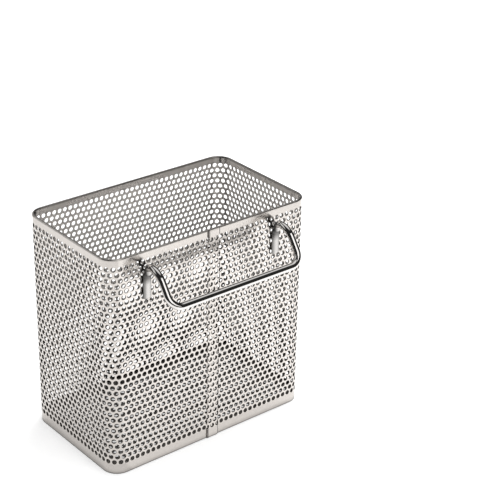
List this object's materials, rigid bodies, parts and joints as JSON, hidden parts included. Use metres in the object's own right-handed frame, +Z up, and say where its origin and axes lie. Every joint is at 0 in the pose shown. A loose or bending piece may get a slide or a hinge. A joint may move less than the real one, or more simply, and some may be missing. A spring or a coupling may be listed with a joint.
{
  "type": "chopstick drainer basket",
  "caption": "Open-topped drainer basket of punched stainless sheet with rounded corners, hemmed rim, lapped front seam, raised floor and a fixed wire hanger that hooks over a rail.",
  "frame": {"origin": "middle of the wall's outline at the level of the worktop it stands on", "axes": "+X to the right along the wide front, seen from the front; +Y from the front to the back, so the hanger is on the -Y side; +Z up"},
  "size_m": [0.153, 0.1172, 0.148],
  "materials": {
    "sheet": "satin punched stainless sheet",
    "wire": "polished stainless wire"
  },
  "bodies": {
    "root": {"wall_front_left": "sheet", "wall_front_right": "sheet", "wall_seam_lap": "sheet", "wall_left_side": "sheet", "wall_right_side": "sheet", "wall_back": "sheet", "corner_front_left": "sheet", "corner_front_right": "sheet", "corner_back_left": "sheet", "corner_back_right": "sheet", "base_tray": "sheet", "hanger_left_leg": "wire", "hanger_right_leg": "wire", "hanger_bar": "wire"}
  },
  "joints": []
}
